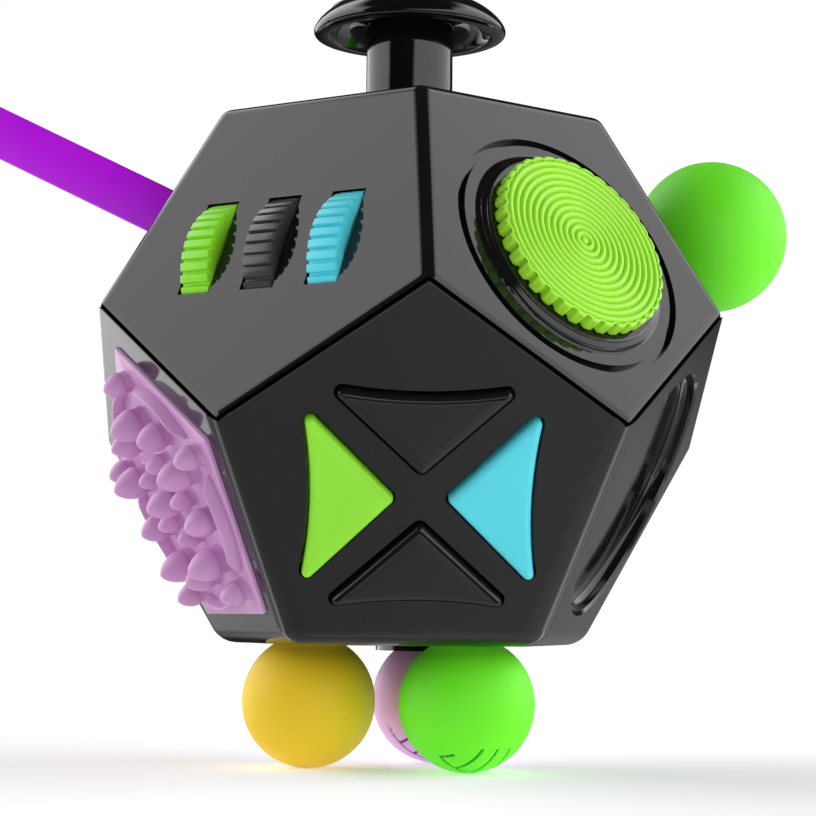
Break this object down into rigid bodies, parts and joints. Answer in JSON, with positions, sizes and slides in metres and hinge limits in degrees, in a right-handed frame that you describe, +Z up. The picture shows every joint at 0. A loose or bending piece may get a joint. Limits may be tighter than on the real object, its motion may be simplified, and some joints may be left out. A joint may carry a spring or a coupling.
{
  "type": "fidget cube",
  "caption": "Twelve-sided black fidget toy with thumb stick, thumb wheels, spinning dial, game-pad buttons, nub pad, pull balls and a strap.",
  "frame": {"origin": "on the desk, under the middle of the body, in the plane that the three lower balls stand on", "axes": "+Z up through the thumb stick, -Y towards the game-pad face, +X towards the side ball"},
  "size_m": [0.0807, 0.0491, 0.0614],
  "materials": {
    "black_shell": "satin gloss, moulded black ABS",
    "black_gloss": "polished black ABS",
    "black_button": "satin black ABS",
    "green_plastic": "bright lime, fine satin",
    "cyan_plastic": "light blue, fine satin",
    "orange_plastic": "orange, fine satin",
    "pink_plastic": "pink, fine satin",
    "violet_plastic": "violet, fine satin",
    "inner_nylon": "natural nylon",
    "steel": "bright nickel-plated steel",
    "silicone": "translucent grey silicone",
    "pink_silicone": "soft matte silicone",
    "green_ball": "satin silicone",
    "orange_ball": "satin silicone",
    "pink_ball": "satin silicone",
    "violet_strap": "satin moulded strap"
  },
  "bodies": {
    "body": {"ball_spring_green": "steel", "ball_spring_orange": "steel", "ball_spring_pink": "steel", "ball_spring_side": "steel", "clicker_domes": "silicone", "clicker_plate": "inner_nylon", "collar_bush": "black_gloss", "gimbal_frame": "inner_nylon", "guide_bushes": "inner_nylon", "joystick_spring": "steel", "lower_shell": "black_shell", "massage_pad": "pink_silicone", "pad_back_plate": "inner_nylon", "pad_membrane": "silicone", "rocker_bezel": "black_gloss", "rocker_pin": "steel", "roller_cup": "inner_nylon", "strap": "violet_strap", "strap_anchor": "inner_nylon", "strap_eyelet": "steel", "strap_gland": "black_gloss", "upper_shell": "black_shell", "wheel_axle": "steel", "wheel_spacers": "inner_nylon"},
    "gimbal": {"gimbal_ring": "inner_nylon"},
    "stick": {"joystick_stem": "black_gloss", "joystick_cap": "black_gloss"},
    "dial": {"spin_dial": "green_plastic", "dial_washer": "steel", "dial_screw": "steel"},
    "rocker_switch": {"rocker": "black_button"},
    "roller": {"roller_ball": "steel"},
    "wheel_left": {"thumb_wheel_left": "green_plastic"},
    "wheel_middle": {"thumb_wheel_middle": "black_button"},
    "wheel_right": {"thumb_wheel_right": "cyan_plastic"},
    "pad_left": {"pad_button_left": "green_plastic"},
    "pad_right": {"pad_button_right": "cyan_plastic"},
    "pad_top": {"pad_button_top": "black_button"},
    "pad_bottom": {"pad_button_bottom": "black_button"},
    "pull_ball_orange": {"ball_orange": "orange_ball", "ball_plunger_orange": "steel", "ball_ring_orange": "steel"},
    "pull_ball_green": {"ball_green": "green_ball", "ball_plunger_green": "steel", "ball_ring_green": "steel"},
    "pull_ball_pink": {"ball_pink": "pink_ball", "ball_plunger_pink": "steel", "ball_ring_pink": "steel"},
    "pull_ball_side": {"ball_side": "green_ball", "ball_plunger_side": "steel", "ball_ring_side": "steel"},
    "click_centre": {"clicker_centre": "green_plastic"},
    "click_upper_left": {"clicker_upper_left": "cyan_plastic"},
    "click_upper_right": {"clicker_upper_right": "orange_plastic"},
    "click_lower_left": {"clicker_lower_left": "pink_plastic"},
    "click_lower_right": {"clicker_lower_right": "violet_plastic"}
  },
  "joints": [
    {"name": "stick_left_right", "type": "hinge", "parent": "gimbal", "child": "stick", "pos_m": [0, 0, 0.04486], "axis": [0, 1, 0], "range_deg": [-14, 14], "stiffness_Nm_per_rad": 0.01, "deforming": ["joystick_spring"]},
    {"name": "stick_front_back", "type": "hinge", "parent": "body", "child": "gimbal", "pos_m": [0, 0, 0.04486], "axis": [1, 0, 0], "range_deg": [-14, 14], "stiffness_Nm_per_rad": 0.01, "deforming": ["joystick_spring"]},
    {"name": "wheel_left_turn", "type": "hinge", "parent": "body", "child": "wheel_left", "pos_m": [-0.01298, -0.00817, 0.03639], "axis": [0.809, -0.5878, 0], "continuous": true},
    {"name": "wheel_middle_turn", "type": "hinge", "parent": "body", "child": "wheel_middle", "pos_m": [-0.00845, -0.01146, 0.03639], "axis": [0.809, -0.5878, 0], "continuous": true},
    {"name": "wheel_right_turn", "type": "hinge", "parent": "body", "child": "wheel_right", "pos_m": [-0.00392, -0.01475, 0.03639], "axis": [0.809, -0.5878, 0], "continuous": true},
    {"name": "dial_turn", "type": "hinge", "parent": "body", "child": "dial", "pos_m": [0.01083, -0.01491, 0.03785], "axis": [0.5272, -0.7256, 0.4423], "continuous": true},
    {"name": "pad_left_press", "type": "slide", "parent": "body", "child": "pad_left", "axis": [0, 0.8969, 0.4423], "range_m": [0, 0.0008], "stiffness_N_per_m": 900, "springref_m": -0.0006},
    {"name": "pad_right_press", "type": "slide", "parent": "body", "child": "pad_right", "axis": [0, 0.8969, 0.4423], "range_m": [0, 0.0008], "stiffness_N_per_m": 900, "springref_m": -0.0006},
    {"name": "pad_top_press", "type": "slide", "parent": "body", "child": "pad_top", "axis": [0, 0.8969, 0.4423], "range_m": [0, 0.0008], "stiffness_N_per_m": 900, "springref_m": -0.0006},
    {"name": "pad_bottom_press", "type": "slide", "parent": "body", "child": "pad_bottom", "axis": [0, 0.8969, 0.4423], "range_m": [0, 0.0008], "stiffness_N_per_m": 900, "springref_m": -0.0006},
    {"name": "ball_orange_pull", "type": "slide", "parent": "body", "child": "pull_ball_orange", "axis": [0, 0, -1], "range_m": [0, 0.0035], "stiffness_N_per_m": 250, "springref_m": -0.002, "deforming": ["ball_spring_orange"]},
    {"name": "ball_green_pull", "type": "slide", "parent": "body", "child": "pull_ball_green", "axis": [0, 0, -1], "range_m": [0, 0.0035], "stiffness_N_per_m": 250, "springref_m": -0.002, "deforming": ["ball_spring_green"]},
    {"name": "ball_pink_pull", "type": "slide", "parent": "body", "child": "pull_ball_pink", "axis": [0, 0, -1], "range_m": [0, 0.0035], "stiffness_N_per_m": 250, "springref_m": -0.002, "deforming": ["ball_spring_pink"]},
    {"name": "ball_side_pull", "type": "slide", "parent": "body", "child": "pull_ball_side", "axis": [0.853, 0.2772, 0.4423], "range_m": [0, 0.0035], "stiffness_N_per_m": 250, "springref_m": -0.002, "deforming": ["ball_spring_side"]},
    {"name": "rocker_tip", "type": "hinge", "parent": "body", "child": "rocker_switch", "pos_m": [0, 0.01659, 0.03796], "axis": [-1, 0, 0], "range_deg": [-18, 0]},
    {"name": "roller_turn", "type": "hinge", "parent": "body", "child": "roller", "pos_m": [0.00959, 0.0132, 0.02173], "axis": [-0.809, 0.5878, 0], "continuous": true},
    {"name": "clicker_centre_press", "type": "slide", "parent": "body", "child": "click_centre", "axis": [0.5272, -0.7256, 0.4423], "range_m": [0, 0.0008], "stiffness_N_per_m": 900, "springref_m": -0.0006},
    {"name": "clicker_upper_left_press", "type": "slide", "parent": "body", "child": "click_upper_left", "axis": [0.5272, -0.7256, 0.4423], "range_m": [0, 0.0008], "stiffness_N_per_m": 900, "springref_m": -0.0006},
    {"name": "clicker_upper_right_press", "type": "slide", "parent": "body", "child": "click_upper_right", "axis": [0.5272, -0.7256, 0.4423], "range_m": [0, 0.0008], "stiffness_N_per_m": 900, "springref_m": -0.0006},
    {"name": "clicker_lower_left_press", "type": "slide", "parent": "body", "child": "click_lower_left", "axis": [0.5272, -0.7256, 0.4423], "range_m": [0, 0.0008], "stiffness_N_per_m": 900, "springref_m": -0.0006},
    {"name": "clicker_lower_right_press", "type": "slide", "parent": "body", "child": "click_lower_right", "axis": [0.5272, -0.7256, 0.4423], "range_m": [0, 0.0008], "stiffness_N_per_m": 900, "springref_m": -0.0006}
  ]
}
